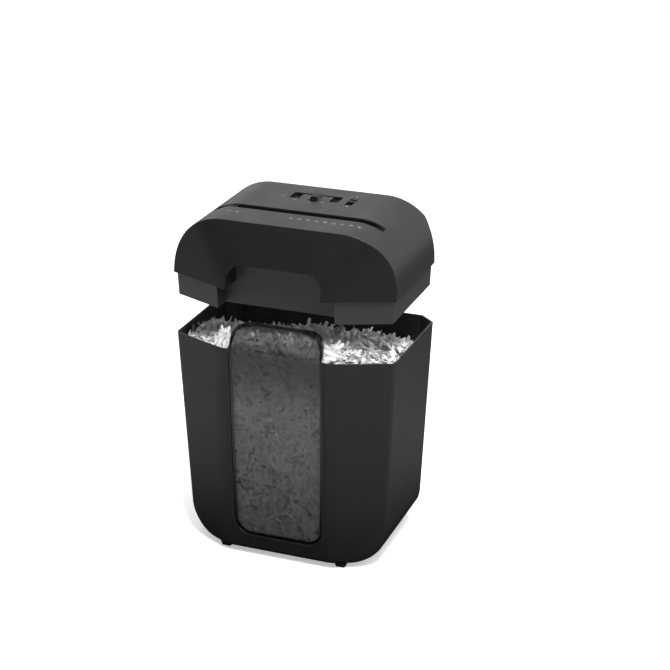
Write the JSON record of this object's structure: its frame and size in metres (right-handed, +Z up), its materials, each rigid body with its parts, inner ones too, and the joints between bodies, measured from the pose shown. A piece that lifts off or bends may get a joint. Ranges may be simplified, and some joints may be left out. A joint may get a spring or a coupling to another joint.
{
  "type": "paper shredder",
  "caption": "Cross-cut paper shredder: a black tapered waste bin with a tall smoked front window, under a lift-off cutting head with a front hand arch, shown lifted off the bin.",
  "frame": {"origin": "on the floor, under the middle of the object's box", "axes": "+Z up, -Y towards the user (the window side), +X to the user's right"},
  "size_m": [0.3406, 0.2327, 0.5217],
  "materials": {
    "bin_black": "fine moulded texture, black",
    "cover_black": "fine moulded texture, charcoal black",
    "housing_black": "satin moulded black",
    "smoked_window": "smoked translucent plastic",
    "foot_black": "moulded elastomer",
    "guide_black": "semi-gloss moulded black",
    "control_black": "fine moulded texture",
    "cutter_steel": "hardened and oiled",
    "gear_nylon": "natural nylon, greased",
    "gear_steel": "sintered steel",
    "plate_steel": "zinc plated sheet",
    "bronze": "sintered bronze",
    "comb_black": "moulded",
    "motor_steel": "drawn can",
    "rotor_copper": "wound armature",
    "board_green": "solder mask",
    "component_black": "moulded electronics cases",
    "lens_clear": "smoked lens",
    "spring_steel": "spring wire",
    "screw_steel": "blackened screws"
  },
  "bodies": {
    "bin": {"bin_shell": "bin_black", "bin_window": "smoked_window", "bin_feet": "foot_black"},
    "head": {"head_cover": "cover_black", "lower_housing": "housing_black", "throat_guide": "guide_black", "front_comb": "comb_black", "rear_comb": "comb_black", "cutter_bushes": "bronze", "motor_can": "motor_steel", "motor_end_cap": "component_black", "control_board": "board_green", "board_parts": "component_black", "lamp_lenses": "lens_clear", "flag_pin": "screw_steel", "plunger_spring": "spring_steel", "housing_screws": "screw_steel", "cord_gland": "foot_black", "gear_pins": "screw_steel", "left_plate": "plate_steel", "right_plate": "plate_steel", "gear_plate": "plate_steel", "tie_rods": "plate_steel", "mode_switch": "component_black", "safety_switch": "component_black", "paper_switch": "component_black"},
    "front_cutter_shaft": {"front_cutter": "cutter_steel", "front_twin_gear": "gear_steel"},
    "rear_cutter_shaft": {"rear_cutter": "cutter_steel", "rear_twin_gear": "gear_steel", "final_gear": "gear_nylon"},
    "second_reduction": {"second_gear": "gear_nylon"},
    "first_reduction": {"first_gear": "gear_nylon"},
    "rotor": {"motor_rotor": "rotor_copper", "motor_pinion": "gear_steel"},
    "mode_knob": {"mode_knob": "control_black"},
    "lock_slider": {"lock_slider": "control_black"},
    "paper_flag": {"paper_flag": "comb_black"},
    "safety_plunger": {"safety_plunger": "gear_nylon"}
  },
  "joints": [
    {"name": "head_lift", "type": "slide", "parent": "bin", "child": "head", "axis": [0, 0, 1], "range_m": [-0.0935, 0]},
    {"name": "rear_cutter_spin", "type": "hinge", "parent": "head", "child": "rear_cutter_shaft", "pos_m": [0, 0.0008, 0.465], "axis": [1, 0, 0], "continuous": true},
    {"name": "front_cutter_spin", "type": "hinge", "parent": "head", "child": "front_cutter_shaft", "pos_m": [0, -0.0294, 0.465], "axis": [1, 0, 0], "continuous": true},
    {"name": "second_gear_spin", "type": "hinge", "parent": "head", "child": "second_reduction", "pos_m": [0, 0.04083, 0.45794], "axis": [1, 0, 0], "continuous": true},
    {"name": "first_gear_spin", "type": "hinge", "parent": "head", "child": "first_reduction", "pos_m": [0, 0.07783, 0.46996], "axis": [1, 0, 0], "continuous": true},
    {"name": "rotor_spin", "type": "hinge", "parent": "head", "child": "rotor", "pos_m": [0, 0.06213, 0.43629], "axis": [1, 0, 0], "continuous": true},
    {"name": "mode_slide", "type": "slide", "parent": "head", "child": "mode_knob", "axis": [1, 0, 0], "range_m": [-0.012, 0.012]},
    {"name": "lock_slide", "type": "slide", "parent": "head", "child": "lock_slider", "axis": [0, 1, 0], "range_m": [-0.014, 0]},
    {"name": "flag_hinge", "type": "hinge", "parent": "head", "child": "paper_flag", "pos_m": [0.016, -0.0033, 0.493], "axis": [1, 0, 0], "range_deg": [0, 20], "stiffness_Nm_per_rad": 0.002, "springref_deg": -11.46},
    {"name": "plunger_slide", "type": "slide", "parent": "head", "child": "safety_plunger", "axis": [0, 0, 1], "range_m": [0, 0.003], "stiffness_N_per_m": 150, "springref_m": -0.002, "deforming": ["plunger_spring"]}
  ],
  "couplings": [
    {"joint": "front_cutter_spin", "follows": "rear_cutter_spin", "ratio": -1},
    {"joint": "second_gear_spin", "follows": "rear_cutter_spin", "ratio": -2.8571},
    {"joint": "first_gear_spin", "follows": "rear_cutter_spin", "ratio": 9.7959},
    {"joint": "rotor_spin", "follows": "rear_cutter_spin", "ratio": -41.983}
  ]
}
